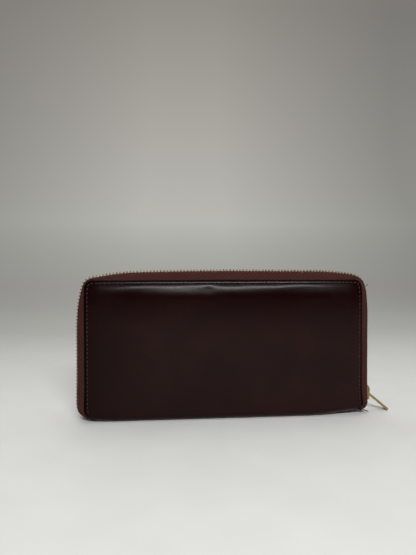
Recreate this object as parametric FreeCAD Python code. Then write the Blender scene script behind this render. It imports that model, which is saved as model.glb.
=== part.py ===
import FreeCAD, Part
import math
import os
from FreeCAD import Vector as V

# Zip-around long wallet standing on its spine, front cover towards -Y, +Z up.
# Origin: middle of the flat underside of the spine. All lengths in millimetres.

# ---------------------------------------------------------------- driving sizes
PANEL_HALF_W = 93.0      # half width of the leather covers
PANEL_H = 92.8           # top edge of the covers above the table
TOP_R = 4.5              # cover corner radius, top
BOTTOM_R = 8.0           # cover corner radius, bottom
HALF_DEPTH = 11.5        # cover face from the middle plane, at the spine
BELLY = 0.5              # extra fullness in the middle of a cover
TOP_DROP = 3.0           # how far the cover rolls inwards at its top edge
TOP_ROLL = 12.0          # height of that roll
SIDE_DROP = 2.0          # the same at the side edges
SIDE_ROLL = 10.0
SPINE_R = 5.0            # outer radius where the spine turns up into a cover
LEATHER_T = 1.4          # outer leather
BOARD_T = 0.7            # stiffener board
LINING_T = 0.6
TIER_T = 0.7             # one card slot layer
LAYER_GAP = 0.06
BOARD_INSET = 8.0
LINING_INSET = 1.0
FOLD_Z = 5.0             # height of the front fold line
TIER_TOPS = (52.0, 66.0, 80.0)
TIER_HALF_W = 90.0

TAPE_T = 0.5             # zip tape
TAPE_SEWN = 6.0          # tape width held between leather and lining
TAPE_EDGE_Y = 1.3        # free edge of the tape from the chain's middle
TAPE_FLAT_Y = 4.4        # tape runs flat from the chain out to here
BULGE_SIDE = 6.0         # chain stands this far outside the cover edge, sides
# the bulge near the two top corners, against distance along the cover edge from the corner's lower tangent point
BULGE_LEFT = ((-84, 6.0), (-55, 5.6), (-24.7, 5.6), (-19.5, 5.3), (-13.7, 4.9), (-8.2, 4.1), (-2.7, 2.9), (0, 2.1), (3.5, 1.0), (7.07, 1.2), (11.2, 1.9),
               (16.7, 3.0), (22.2, 3.8), (27.8, 4.3), (33.3, 4.7), (45.6, 5.0), (65.6, 5.4), (95.6, 5.7), (110, 5.7))
BULGE_RIGHT = ((-84, 6.0), (-15.5, 6.0), (-8.2, 5.4), (-2.7, 4.9), (0, 4.2), (3.5, 2.6), (7.07, 2.7), (8.8, 3.2), (14.4, 4.0), (20.0, 4.5),
                (25.6, 5.0), (45.6, 5.3), (95.6, 5.7), (110, 5.7))
BULGE_END = 3.0          # at the tape's lower ends
END_ANGLE = 36.0         # how far the chain turns in round the bottom corners

PITCH = 2.25             # tooth pitch on one tape
TOOTH_T = 0.92           # tooth thickness along the chain
TOOTH_LEG = 2.4          # leg end from the chain's middle
TOOTH_HEAD = -0.35       # heads stop this far short of the chain's middle, so the slider's post passes between the rows
TOOTH_HALF_H = 1.0       # half height of a tooth, square to the tape
PART_SHIFT = 1.3         # how far each row stands aside at the slider's wedge
END_SPLIT_Z = 20.0       # the tape ends below this are sewn to the spine

SLIDER_Z = 13.4          # middle of the slider at rest
SLIDER_HALF_L = 5.0
SLIDER_MOUTH = 4.6       # half width at the mouth
SLIDER_NECK = 3.3        # half width at the tail
CHANNEL_HALF = 1.2       # half height of the slider's channel
PLATE_T = 0.9
FLANGE_W = 0.6
SLOT_HALF = 0.5          # half height of the slot the tape runs in
PIVOT_OUT = 0.9          # pull pivot above the outer plate
PIVOT_R = 0.55
EYE_R = 0.62
CROWN_HALF_T = 0.95
PULL_HALF_W = 2.3
PULL_HALF_T = 0.75
PULL_LENGTH = 18.0
PULL_REST_DEG = 39.5     # the pull hangs this far below level
COIN_PULL_LENGTH = 12.0
COIN_PULL_REST_DEG = 7.0

STITCH_INSET = 1.9
STITCH_PITCH = 2.75
STITCH_LENGTH = 2.05
STITCH_R = 0.26

POCKET_HALF_W = 84.5
POCKET_SHOULDER_HALF_W = 67.0
POCKET_WALL_IN, POCKET_WALL_OUT = 1.9, 2.7
POCKET_LINING_IN = 1.45
POCKET_AXIS_Z = 9.45      # middle of the bag's rounded bottom, where the pocket swings
COIN_CHAIN_Z = 79.9
COIN_CHAIN_HALF_L = 62.0
COIN_SLIDER_X = 55.0
GUSSET_T = 0.4
GUSSET_BOTTOM_Z, GUSSET_TOP_Z = 8.0, 82.0

os.makedirs("parts", exist_ok=True)


def clip01(t):
    return max(0.0, min(1.0, t))


def smooth(t):
    t = clip01(t)
    return t * t * (3 - 2 * t)


def face_depth(x, z):
    """Distance of a cover's outer face from the middle plane y = 0."""
    belly = max(0.0, 1 - ((z - 48.5) / 43.5) ** 2) * max(0.0, 1 - (x / PANEL_HALF_W) ** 2)
    top = clip01((z - (PANEL_H - TOP_ROLL)) / TOP_ROLL) ** 2
    side = clip01((abs(x) - (PANEL_HALF_W - SIDE_ROLL)) / SIDE_ROLL) ** 2 * clip01((z - 6.0) / 12.0)
    return HALF_DEPTH + BELLY * belly - TOP_DROP * top - SIDE_DROP * side


def save(node, shape):
    solids = shape.Solids
    assert solids, node
    for s in solids:
        assert s.isValid() and s.Volume > 0, (node, s.isValid(), s.Volume)
    out = solids[0] if len(solids) == 1 else Part.makeCompound(solids)
    out.exportStep("parts/%s.step" % node)
    print(node, len(solids), round(sum(s.Volume for s in solids), 2))


def prism(points, vector):
    """Solid from a closed polygon of points, extruded along vector."""
    face = Part.Face(Part.makePolygon([V(*p) for p in points] + [V(*points[0])]))
    solid = face.extrude(V(*vector))
    if solid.Volume < 0:
        solid.reverse()
    return solid


def outline(inset, y0, y1, z_min):
    """Rounded cover outline in the XZ plane as a prism from y0 to y1."""
    w, top = PANEL_HALF_W - inset, PANEL_H - inset
    rt, rb, low = max(TOP_R - inset, 1.0), max(BOTTOM_R - inset, 1.0), inset * 0.0
    c = math.sqrt(0.5)
    edges = [
        Part.LineSegment(V(-w + rb, y0, low), V(w - rb, y0, low)).toShape(),
        Part.Arc(V(w - rb, y0, low), V(w - rb + rb * c, y0, low + rb - rb * c), V(w, y0, low + rb)).toShape(),
        Part.LineSegment(V(w, y0, low + rb), V(w, y0, top - rt)).toShape(),
        Part.Arc(V(w, y0, top - rt), V(w - rt + rt * c, y0, top - rt + rt * c), V(w - rt, y0, top)).toShape(),
        Part.LineSegment(V(w - rt, y0, top), V(-w + rt, y0, top)).toShape(),
        Part.Arc(V(-w + rt, y0, top), V(-w + rt - rt * c, y0, top - rt + rt * c), V(-w, y0, top - rt)).toShape(),
        Part.LineSegment(V(-w, y0, top - rt), V(-w, y0, low + rb)).toShape(),
        Part.Arc(V(-w, y0, low + rb), V(-w + rb - rb * c, y0, low + rb - rb * c), V(-w + rb, y0, low)).toShape(),
    ]
    body = Part.Face(Part.Wire(edges)).extrude(V(0, y1 - y0, 0))
    if z_min > 0:
        body = body.common(Part.makeBox(400, abs(y1 - y0) + 2, 200, V(-200, min(y0, y1) - 1, z_min)))
    return body


def layer(side, offset, thickness, inset, z_min, z_max=None, half_w=None):
    """A sheet that follows the cover's face, offset inwards. side is -1 for the front cover and 1 for the rear."""
    z0, z1 = FOLD_Z - 1.5, PANEL_H + 1.0
    nx, nz = 33, 33
    hw = PANEL_HALF_W + 1.0
    xs = [hw * math.sin(math.pi / 2 * (2.0 * i / (nx - 1) - 1)) for i in range(nx)]
    zs = [z0 + (z1 - z0) * j / (nz - 1) for j in range(nz)]
    grid = [[V(x, side * (face_depth(x, z) - offset), z) for z in zs] for x in xs]
    surface = Part.BSplineSurface()
    surface.interpolate(grid)
    sheet = surface.toShape().extrude(V(0, -side * thickness, 0))
    if sheet.Volume < 0:
        sheet.reverse()
    mask = outline(inset, -20.0 if side < 0 else 0.0, 0.0 if side < 0 else 20.0, z_min)
    if z_max is not None:
        mask = mask.common(Part.makeBox(2 * (half_w or 100), 44, z_max - z_min, V(-(half_w or 100), -22, z_min)))
    return sheet.common(mask)


# ---------------------------------------------------------------- covers
LINING_OFF = LEATHER_T + LAYER_GAP + BOARD_T + LAYER_GAP
TIER_OFF = LINING_OFF + LINING_T + LAYER_GAP
AXIS_Y, AXIS_Z = -(HALF_DEPTH - LEATHER_T / 2), FOLD_Z

for side, name in ((-1, "front"), (1, "rear")):
    leather = layer(side, 0.0, LEATHER_T, 0.0, FOLD_Z)
    if side < 0:
        # the lower edge is a bead centred on the fold line, so that the cover turns in place
        edge = PANEL_HALF_W - BOTTOM_R + math.sqrt(BOTTOM_R ** 2 - (BOTTOM_R - FOLD_Z) ** 2) - 0.4
        bead = Part.makeCylinder(LEATHER_T / 2, 2 * edge, V(-edge, AXIS_Y, AXIS_Z), V(1, 0, 0))
        leather = leather.fuse(bead).removeSplitter()
    save(name + "_cover_leather", leather)
    save(name + "_stiffener_board", layer(side, LEATHER_T + LAYER_GAP, BOARD_T, BOARD_INSET, 9.0))
    save(name + "_lining", layer(side, LINING_OFF, LINING_T, LINING_INSET, 7.0))
    for k, top in enumerate(TIER_TOPS):
        off = TIER_OFF + (len(TIER_TOPS) - 1 - k) * (TIER_T + LAYER_GAP)
        save("%s_card_tier_%d" % (name, k + 1), layer(side, off, TIER_T, 2.0, 9.0, top, TIER_HALF_W))


def channel(r_out, r_in, front_end_z, rear_end_z):
    """U-shaped strip along X that joins the two covers under the contents."""
    yc, zc, low = HALF_DEPTH - SPINE_R, SPINE_R, SPINE_R - r_out
    c = math.sqrt(0.5)
    floor = SPINE_R - r_in
    pts_out = [V(0, -(yc + r_out), zc), V(0, -(yc + r_out * c), zc - r_out * c), V(0, -yc, low), V(0, yc, low),
               V(0, yc + r_out * c, zc - r_out * c), V(0, yc + r_out, zc)]
    pts_in = [V(0, yc + r_in, zc), V(0, yc + r_in * c, zc - r_in * c), V(0, yc, floor), V(0, -yc, floor),
              V(0, -(yc + r_in * c), zc - r_in * c), V(0, -(yc + r_in), zc)]
    edges = [Part.Arc(pts_out[0], pts_out[1], pts_out[2]).toShape(), Part.LineSegment(pts_out[2], pts_out[3]).toShape(),
             Part.Arc(pts_out[3], pts_out[4], pts_out[5]).toShape(), Part.LineSegment(pts_out[5], pts_in[0]).toShape(),
             Part.Arc(pts_in[0], pts_in[1], pts_in[2]).toShape(), Part.LineSegment(pts_in[2], pts_in[3]).toShape(),
             Part.Arc(pts_in[3], pts_in[4], pts_in[5]).toShape(), Part.LineSegment(pts_in[5], pts_out[0]).toShape()]
    strip = Part.Face(Part.Wire(edges)).extrude(V(186, 0, 0))
    strip.translate(V(-93, 0, 0))
    strip = strip.cut(Part.makeBox(200, 30, 20, V(-100, -30, front_end_z)))
    strip = strip.cut(Part.makeBox(200, 30, 20, V(-100, 0, rear_end_z)))
    return strip


front_gap_z = FOLD_Z - LEATHER_T / 2 - 0.05
save("spine_leather", channel(SPINE_R, SPINE_R - LEATHER_T, front_gap_z, FOLD_Z).common(outline(0.0, -20, 20, 0)))
save("spine_lining", channel(SPINE_R - LEATHER_T - LAYER_GAP, SPINE_R - LEATHER_T - LAYER_GAP - LINING_T, front_gap_z, FOLD_Z)
     .common(outline(5.0, -20, 20, 0)))


# ---------------------------------------------------------------- zip path round three sides
def bulge(table, q):
    """Bulge at distance q along the edge: the table's straight pieces, averaged over 6 mm."""
    total = 0.0
    for k in range(-3, 4):
        p = max(table[0][0], min(table[-1][0], q + k))
        for (qa, ba), (qb, bb) in zip(table, table[1:]):
            if p <= qb:
                total += ba + (bb - ba) * (p - qa) / (qb - qa)
                break
    return total / 7


def edge_path():
    """Samples of the cover's edge from the lower right corner, up, across and down: (x, z, nx, nz, bulge)."""
    w, h = PANEL_HALF_W, PANEL_H
    out = []
    steps = steps_low = 9
    for i in range(steps):
        a = math.radians(-END_ANGLE * (1 - i / steps))
        t = i / steps
        out.append((w - BOTTOM_R + BOTTOM_R * math.cos(a), BOTTOM_R + BOTTOM_R * math.sin(a), math.cos(a), math.sin(a),
                    BULGE_END + (BULGE_SIDE - BULGE_END) * smooth(t)))
    corner = h - TOP_R
    for z in (BOTTOM_R, 9.5, 11.0, 12.5, 14.0, 15.5, 17.0, 18.5, END_SPLIT_Z - 0.1, END_SPLIT_Z + 0.1, 34.0, 50.0, 60.0, 66.0, 69.0, 72.0, 75.0, 78.0,
              80.5, 83.0, 85.0, 86.5):
        out.append((w, z, 1.0, 0.0, z - corner))
    steps = 12
    for i in range(steps):
        a = math.radians(90 * i / steps)
        out.append((w - TOP_R + TOP_R * math.cos(a), corner + TOP_R * math.sin(a), math.cos(a), math.sin(a), TOP_R * a))
    half = w - TOP_R
    q0 = TOP_R * math.pi / 2
    for d in (0, 1.5, 3, 5, 7, 9, 11, 13, 15, 18, 21, 24, 28, 32, 37, 43, 50, 58, 66, 74, 82, half):
        out.append((half - d, h, 0.0, 1.0, q0 + d))

    def finish(items, table, mirror):
        done = []
        for k, (x, z, nx, nz, q) in enumerate(items):
            b = q if k < steps_low else bulge(table, q)
            done.append((mirror * x, z, mirror * nx, nz, b))
        return done

    return finish(out, BULGE_RIGHT, 1) + finish(out[:-1], BULGE_LEFT, -1)[::-1]


EDGE = edge_path()
CHAIN = [(x + b * nx, z + b * nz) for x, z, nx, nz, b in EDGE]
LENGTH = [0.0]
for (xa, za), (xb, zb) in zip(CHAIN, CHAIN[1:]):
    LENGTH.append(LENGTH[-1] + math.hypot(xb - xa, zb - za))


def chain_at(s):
    """Point, tangent and outward normal of the chain at arc length s."""
    def point(q):
        q = max(0.0, min(LENGTH[-1], q))
        i = 0
        lo, hi = 0, len(LENGTH) - 2
        while lo < hi:
            mid = (lo + hi + 1) // 2
            if LENGTH[mid] <= q:
                lo = mid
            else:
                hi = mid - 1
        i = lo
        t = (q - LENGTH[i]) / (LENGTH[i + 1] - LENGTH[i])
        return CHAIN[i][0] + t * (CHAIN[i + 1][0] - CHAIN[i][0]), CHAIN[i][1] + t * (CHAIN[i + 1][1] - CHAIN[i][1])

    x, z = point(s)
    (xa, za), (xb, zb) = point(s - 1.2), point(s + 1.2)
    d = math.hypot(xb - xa, zb - za)
    tx, tz = (xb - xa) / d, (zb - za) / d
    return x, z, tx, tz, tz, -tx


def shift_at(x, z):
    """Sideways parting of the rows at and below the slider's wedge, on the right-hand end only."""
    return PART_SHIFT * smooth((SLIDER_Z + 3.6 - z) / 6.0) if x > 0 else 0.0


def skin_depth(x, z, inwards):
    """|y| of a layer set inwards from the outer skin, in a cover or in the spine's rounded corner."""
    if z >= SPINE_R:
        return face_depth(x, z) - inwards
    r = SPINE_R - inwards
    return HALF_DEPTH - SPINE_R + math.sqrt(max(r * r - (SPINE_R - z) ** 2, 0.0))


def tape_profile(sample):
    """Mid-line of one tape, as (distance outside the cover edge, |y|), from its sewn edge to its free edge."""
    x, z, nx, nz, b = sample
    mid = LEATHER_T + (LINING_OFF - LEATHER_T) / 2
    pts = []
    sewn = TAPE_SEWN * (0.2 + 0.8 * smooth(1 + nz / math.sin(math.radians(END_ANGLE)))) if nz < 0 else TAPE_SEWN
    for u in (-sewn, -sewn * 0.667, -sewn * 0.333, 0.0):
        pts.append((u, skin_depth(x + u * nx, z + u * nz, mid)))
    y0 = pts[-1][1]
    slope = (pts[-2][1] - y0) / (sewn * 0.333)
    flat = min(TAPE_FLAT_Y, y0 - 1.2)
    p0, p3 = (0.0, y0), (b, flat)
    k0, k3 = 0.55 * b, 0.6 * (y0 - flat)
    d = math.hypot(1.0, slope)
    p1, p2 = (k0 / d, y0 - k0 * slope / d), (b, flat + k3)
    for i in range(1, 8):
        t = i / 8.0
        c = ((1 - t) ** 3, 3 * (1 - t) ** 2 * t, 3 * (1 - t) * t ** 2, t ** 3)
        pts.append((sum(w * p[0] for w, p in zip(c, (p0, p1, p2, p3))), sum(w * p[1] for w, p in zip(c, (p0, p1, p2, p3)))))
    edge = TAPE_EDGE_Y + shift_at(x + b * nx, z + b * nz)
    pts += [(b, flat), (b, flat + 0.5 * (edge - flat)), (b, edge)]
    return pts


def tape_solid(side, samples, free_only=False):
    """Ribbon of tape swept through the given samples of the path. free_only leaves out the sewn margin."""
    wires = []
    for sample in samples:
        x, z, nx, nz, b = sample
        mid = tape_profile(sample)[5 if free_only else 0:]
        rows = ([], [])
        for i, (u, y) in enumerate(mid):
            ua, ya = mid[max(i - 1, 0)]
            ub, yb = mid[min(i + 1, len(mid) - 1)]
            d = math.hypot(ub - ua, yb - ya)
            nu, ny = -(yb - ya) / d, (ub - ua) / d
            for row, sign in zip(rows, (1, -1)):
                uu, yy = u + sign * nu * TAPE_T / 2, y + sign * ny * TAPE_T / 2
                row.append(V(x + uu * nx, side * yy, z + uu * nz))
        curves = []
        for row in rows:
            c = Part.BSplineCurve()
            c.interpolate(row)
            curves.append(c.toShape())
        a, c = rows
        wires.append(Part.Wire([curves[0], Part.LineSegment(a[-1], c[-1]).toShape(), curves[1], Part.LineSegment(c[0], a[0]).toShape()]))
    solid = Part.makeLoft(wires, True, True)
    if solid.Volume < 0:
        solid.reverse()
    return solid


save("rear_zip_tape", tape_solid(1, EDGE))
half = len(EDGE) // 2
save("front_zip_tape", tape_solid(-1, [s for s in EDGE if s[1] > END_SPLIT_Z]))
low_right = [s for s in EDGE[:half] if s[1] < END_SPLIT_Z]
low_left = [s for s in EDGE[half:] if s[1] < END_SPLIT_Z]
save("front_zip_tape_ends", Part.makeCompound([tape_solid(-1, low_right, True), tape_solid(-1, low_left, True)]))


# ---------------------------------------------------------------- zip teeth
def tooth(origin, t, n, y_sign, shift):
    """One tooth. t runs along the chain, n square to the tape, and the head points across the middle plane."""
    h, y_leg, y_head = TOOTH_HALF_H, -(TOOTH_LEG + shift), TOOTH_HEAD - shift
    prof = [(y_leg, h * 0.55), (y_leg + 0.35, h), (y_head - 0.9, h), (y_head - 0.25, h * 0.8), (y_head, h * 0.35),
            (y_head, -h * 0.35), (y_head - 0.25, -h * 0.8), (y_head - 0.9, -h), (y_leg + 0.35, -h), (y_leg, -h * 0.55)]
    pts = []
    for y, u in prof:
        pts.append((origin[0] + u * n[0] - TOOTH_T / 2 * t[0], origin[1] + y * y_sign + u * n[1] - TOOTH_T / 2 * t[1],
                    origin[2] + u * n[2] - TOOTH_T / 2 * t[2]))
    return prism(pts, tuple(TOOTH_T * c for c in t))


START, STOP = 5.2, 3.6
count = int((LENGTH[-1] - START - STOP) / (PITCH / 2))
front_teeth, rear_teeth, front_end_teeth = [], [], []
for k in range(count + 1):
    s = START + k * PITCH / 2
    x, z, tx, tz, nx, nz = chain_at(s)
    shift = shift_at(x, z)
    if k % 2:
        if abs(z - END_SPLIT_Z) < TOOTH_T / 2 + 0.15:
            continue
        made = tooth((x, 0, z), (tx, 0, tz), (nx, 0, nz), 1, shift)
        (front_end_teeth if z < END_SPLIT_Z else front_teeth).append(made)
    else:
        rear_teeth.append(tooth((x, 0, z), (tx, 0, tz), (nx, 0, nz), -1, shift))
save("rear_zip_teeth", Part.makeCompound(rear_teeth))
save("front_zip_teeth", Part.makeCompound(front_teeth))
save("front_zip_teeth_ends", Part.makeCompound(front_end_teeth))


def stop(s, y0, y1, length):
    """Metal clip closed over the tape edge, at arc length s."""
    x, z, tx, tz, nx, nz = chain_at(s)
    h = TOOTH_HALF_H
    pts = [(y0, -h * 0.6), (y0 + 0.4, -h), (y1 - 0.4, -h), (y1, -h * 0.6), (y1, h * 0.6), (y1 - 0.4, h), (y0 + 0.4, h), (y0, h * 0.6)]
    base = [(x + u * nx - length / 2 * tx, y, z + u * nz - length / 2 * tz) for y, u in pts]
    return prism(base, (length * tx, 0, length * tz))


x0, z0 = chain_at(3.0)[:2]
sh = shift_at(x0, z0)
save("zip_top_stops", Part.makeCompound([stop(3.0, 0.4 + sh, TOOTH_LEG + sh, 2.0),
                                         stop(3.0, -(TOOTH_LEG + sh), -(0.4 + sh), 2.0)]))
save("zip_bottom_stop", stop(LENGTH[-1] - 1.7, -TOOTH_LEG, TOOTH_LEG, 2.2))


# ---------------------------------------------------------------- sliders and pulls, built in a local frame
# local frame: a along the chain towards the tail, c across the chain (row Y), r outwards from the tape
def local(place):
    def put(a, c, r):
        return V(*place(a, c, r))
    return put


def extrude_profile(put, points, axis, low, high):
    """Closed polygon of (p, q) extruded along a local axis: 'r' takes (a, c), 'c' takes (a, r)."""
    if axis == "r":
        base = [put(p, q, low) for p, q in points]
        vec = put(0, 0, high) - put(0, 0, low)
    else:
        base = [put(p, low, q) for p, q in points]
        vec = put(0, high, 0) - put(0, low, 0)
    solid = Part.Face(Part.makePolygon(base + [base[0]])).extrude(vec)
    if solid.Volume < 0:
        solid.reverse()
    return solid


def rounded(points, radius_by_index, steps=4):
    """Polygon with some corners rounded."""
    out = []
    n = len(points)
    for i, p in enumerate(points):
        r = radius_by_index.get(i, 0)
        if not r:
            out.append(p)
            continue
        a, b = points[i - 1], points[(i + 1) % n]
        da, db = math.hypot(a[0] - p[0], a[1] - p[1]), math.hypot(b[0] - p[0], b[1] - p[1])
        ra, rb = min(r, da / 2.05), min(r, db / 2.05)
        pa = (p[0] + (a[0] - p[0]) / da * ra, p[1] + (a[1] - p[1]) / da * ra)
        pb = (p[0] + (b[0] - p[0]) / db * rb, p[1] + (b[1] - p[1]) / db * rb)
        for k in range(steps + 1):
            t = k / steps
            out.append(((1 - t) ** 2 * pa[0] + 2 * t * (1 - t) * p[0] + t * t * pb[0],
                        (1 - t) ** 2 * pa[1] + 2 * t * (1 - t) * p[1] + t * t * pb[1]))
    return out


def slider_body(put):
    L, M, N = SLIDER_HALF_L, SLIDER_MOUTH, SLIDER_NECK
    shape = [(-L, -M + 1.0), (-L + 1.0, -M), (-L + 3.2, -M), (L - 2.6, -N), (L - 0.8, -N), (L, -N + 0.8),
             (L, N - 0.8), (L - 0.8, N), (L - 2.6, N), (-L + 3.2, M), (-L + 1.0, M), (-L, M - 1.0)]
    shape = rounded(shape, {0: 0.7, 1: 0.7, 4: 0.5, 5: 0.5, 6: 0.5, 7: 0.5, 10: 0.7, 11: 0.7}, 3)
    top = extrude_profile(put, shape, "r", CHANNEL_HALF, CHANNEL_HALF + PLATE_T)
    bottom = extrude_profile(put, shape, "r", -CHANNEL_HALF - PLATE_T, -CHANNEL_HALF)
    body = top.fuse(bottom)
    for s in (1, -1):
        rail = [(-L + 1.0, s * M), (-L + 3.2, s * M), (L - 2.6, s * N), (L - 0.4, s * N), (L - 0.4, s * (N - FLANGE_W)),
                (L - 2.6, s * (N - FLANGE_W)), (-L + 3.2, s * (M - FLANGE_W)), (-L + 1.0, s * (M - FLANGE_W))]
        body = body.fuse(extrude_profile(put, rail, "r", SLOT_HALF, CHANNEL_HALF + 0.1))
        body = body.fuse(extrude_profile(put, rail, "r", -CHANNEL_HALF - 0.1, -SLOT_HALF))
    post = [(-L + 1.0, 0.0), (-L + 1.5, 0.28), (-L + 3.6, 0.28), (-L + 4.2, 0.0), (-L + 3.6, -0.28), (-L + 1.5, -0.28)]
    body = body.fuse(extrude_profile(put, post, "r", -CHANNEL_HALF - 0.1, CHANNEL_HALF + 0.1))
    return body.removeSplitter()


def crown(put, pivot_a):
    """Hump on the outer plate with a long eye that the pull's bar turns in."""
    base = CHANNEL_HALF + PLATE_T
    rp = base + PIVOT_OUT
    hump = rounded([(pivot_a - 1.25, base), (pivot_a - 1.25, rp + 0.6), (pivot_a - 0.3, rp + 1.05), (pivot_a + 4.2, rp + 1.05),
                    (pivot_a + 5.3, rp), (pivot_a + 5.45, base)], {1: 0.6, 2: 0.9, 3: 1.2, 4: 0.8}, 5)
    body = extrude_profile(put, hump, "c", -CROWN_HALF_T, CROWN_HALF_T)
    long = 2.9
    # the eye: two half rounds and two flats, cut with true arcs
    yl, yh = -CROWN_HALF_T - 0.5, CROWN_HALF_T + 0.5
    a0, a1, a2 = put(pivot_a, yl, rp + EYE_R), put(pivot_a - EYE_R, yl, rp), put(pivot_a, yl, rp - EYE_R)
    b0, b1, b2 = put(pivot_a + long, yl, rp - EYE_R), put(pivot_a + long + EYE_R, yl, rp), put(pivot_a + long, yl, rp + EYE_R)
    wire = Part.Wire([Part.Arc(a0, a1, a2).toShape(), Part.LineSegment(a2, b0).toShape(), Part.Arc(b0, b1, b2).toShape(),
                      Part.LineSegment(b2, a0).toShape()])
    eye = Part.Face(wire).extrude(put(0, yh, 0) - put(0, yl, 0))
    return body.cut(eye)


def pull(put, pivot_a, length, rest_deg, window):
    """Pull tab: a round cross bar in the crown's eye, two arms beside the crown, then a flat bar.
    rest_deg is measured in the (a, r) plane from +r towards -a."""
    rp = CHANNEL_HALF + PLATE_T + PIVOT_OUT
    ang = math.radians(rest_deg)
    da, dr = -math.sin(ang), math.cos(ang)
    na, nr = dr, -da

    def at(d, c, h):
        return put(pivot_a + d * da + h * na, c, rp + d * dr + h * nr)

    W, T = PULL_HALF_W, PULL_HALF_T
    inner = CROWN_HALF_T + 0.15

    def slab(poly, low, high):
        base = [at(d, c, low) for d, c in poly]
        s = Part.Face(Part.makePolygon(base + [base[0]])).extrude(at(0, 0, high) - at(0, 0, low))
        if s.Volume < 0:
            s.reverse()
        return s

    tab = rounded([(window, -W), (length - 0.2, -W), (length, -W + 0.3), (length, W - 0.3), (length - 0.2, W), (window, W)],
                  {1: 0.6, 2: 0.6, 3: 0.6, 4: 0.6}, 3)
    body = slab(tab, -T, T)
    for s in (1, -1):
        arm = [(0.0, s * inner), (window + 0.8, s * inner), (window + 0.8, s * W), (0.0, s * W)]
        body = body.fuse(slab(arm, -T, T))
        y_low = inner if s > 0 else -W
        base = put(pivot_a, y_low, rp)
        axis = put(0, 1, 0) - put(0, 0, 0)
        body = body.fuse(Part.makeCylinder(T, W - inner, base, axis))
    axis = put(0, 1, 0) - put(0, 0, 0)
    body = body.fuse(Part.makeCylinder(PIVOT_R, 2 * inner + 0.6, put(pivot_a, -inner - 0.3, rp), axis))
    return body.removeSplitter()


CHAIN_X = PANEL_HALF_W + BULGE_SIDE
zip_put = local(lambda a, c, r: (CHAIN_X + r, c, SLIDER_Z + a))
PIVOT_A = -1.3
save("zip_slider_body", slider_body(zip_put))
save("zip_slider_crown", crown(zip_put, PIVOT_A))
save("zip_pull_tab", pull(zip_put, PIVOT_A, PULL_LENGTH, PULL_REST_DEG, 6.2))

# ---------------------------------------------------------------- coin pocket in the middle
for side, name in ((-1, "front"), (1, "rear")):
    i, o = POCKET_WALL_IN, POCKET_WALL_OUT
    zc = COIN_CHAIN_Z
    prof = [(o, 8.0), (o, 66.0), (5.9, zc - 1.5), (5.9, zc + 1.05), (5.0, zc + 1.05), (5.0, zc + 0.38), (5.3, zc + 0.38),
            (5.3, zc - 1.2), (i, 66.3), (i, 8.0)]
    wall = prism([(-POCKET_HALF_W, side * y, z) for y, z in prof], (2 * POCKET_HALF_W, 0, 0))
    w, s = POCKET_HALF_W, POCKET_SHOULDER_HALF_W
    shape = [(-w + 3, -20, 8), (w - 3, -20, 8), (w, -20, 11), (w, -20, 60), (w - 2, -20, 62), (s + 1.5, -20, 64), (s, -20, 66), (s, -20, 82),
             (-s, -20, 82), (-s, -20, 66), (-s - 1.5, -20, 64), (-w + 2, -20, 62), (-w, -20, 60), (-w, -20, 11)]
    save("coin_pocket_%s_wall" % name, wall.common(prism(shape, (0, 40, 0))))
    # the two tapes part at the slider's wedge on the right-hand end
    x_close = COIN_SLIDER_X - 3.6
    pts = [(-(s - 1.0), TAPE_EDGE_Y), (x_close - 2.4, TAPE_EDGE_Y), (x_close + 3.6, TAPE_EDGE_Y + PART_SHIFT), (s - 1.0, TAPE_EDGE_Y + PART_SHIFT),
           (s - 1.0, 5.2), (-(s - 1.0), 5.2)]
    tape = prism([(x, side * y, zc - TAPE_T / 2) for x, y in pts], (0, 0, TAPE_T))
    save("coin_zip_%s_tape" % name, tape)

bag_half = POCKET_SHOULDER_HALF_W + 13.0
ro, ri, za = POCKET_WALL_IN - LAYER_GAP, POCKET_LINING_IN, POCKET_AXIS_Z
bag = [Part.LineSegment(V(-bag_half, -ro, 64.0), V(-bag_half, -ro, za)).toShape(),
       Part.Arc(V(-bag_half, -ro, za), V(-bag_half, 0, za - ro), V(-bag_half, ro, za)).toShape(),
       Part.LineSegment(V(-bag_half, ro, za), V(-bag_half, ro, 64.0)).toShape(),
       Part.LineSegment(V(-bag_half, ro, 64.0), V(-bag_half, ri, 64.0)).toShape(),
       Part.LineSegment(V(-bag_half, ri, 64.0), V(-bag_half, ri, za)).toShape(),
       Part.Arc(V(-bag_half, ri, za), V(-bag_half, 0, za - ri), V(-bag_half, -ri, za)).toShape(),
       Part.LineSegment(V(-bag_half, -ri, za), V(-bag_half, -ri, 64.0)).toShape(),
       Part.LineSegment(V(-bag_half, -ri, 64.0), V(-bag_half, -ro, 64.0)).toShape()]
save("coin_pocket_lining", Part.Face(Part.Wire(bag)).extrude(V(2 * bag_half, 0, 0)))


def coin_shift(x):
    return PART_SHIFT * smooth((x - (COIN_SLIDER_X - 3.6)) / 6.0)


rows = ([], [])
n = int(2 * COIN_CHAIN_HALF_L / (PITCH / 2))
for k in range(n + 1):
    x = -COIN_CHAIN_HALF_L + k * PITCH / 2
    rows[k % 2].append(tooth((x, 0, COIN_CHAIN_Z), (1, 0, 0), (0, 0, 1), 1 if k % 2 else -1, coin_shift(x)))
save("coin_zip_rear_teeth", Part.makeCompound(rows[0]))
save("coin_zip_front_teeth", Part.makeCompound(rows[1]))


def coin_stop(x, y0, y1, length):
    h = TOOTH_HALF_H
    pts = [(y0, -h * 0.6), (y0 + 0.4, -h), (y1 - 0.4, -h), (y1, -h * 0.6), (y1, h * 0.6), (y1 - 0.4, h), (y0 + 0.4, h), (y0, h * 0.6)]
    return prism([(x - length / 2, y, COIN_CHAIN_Z + u) for y, u in pts], (length, 0, 0))


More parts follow.
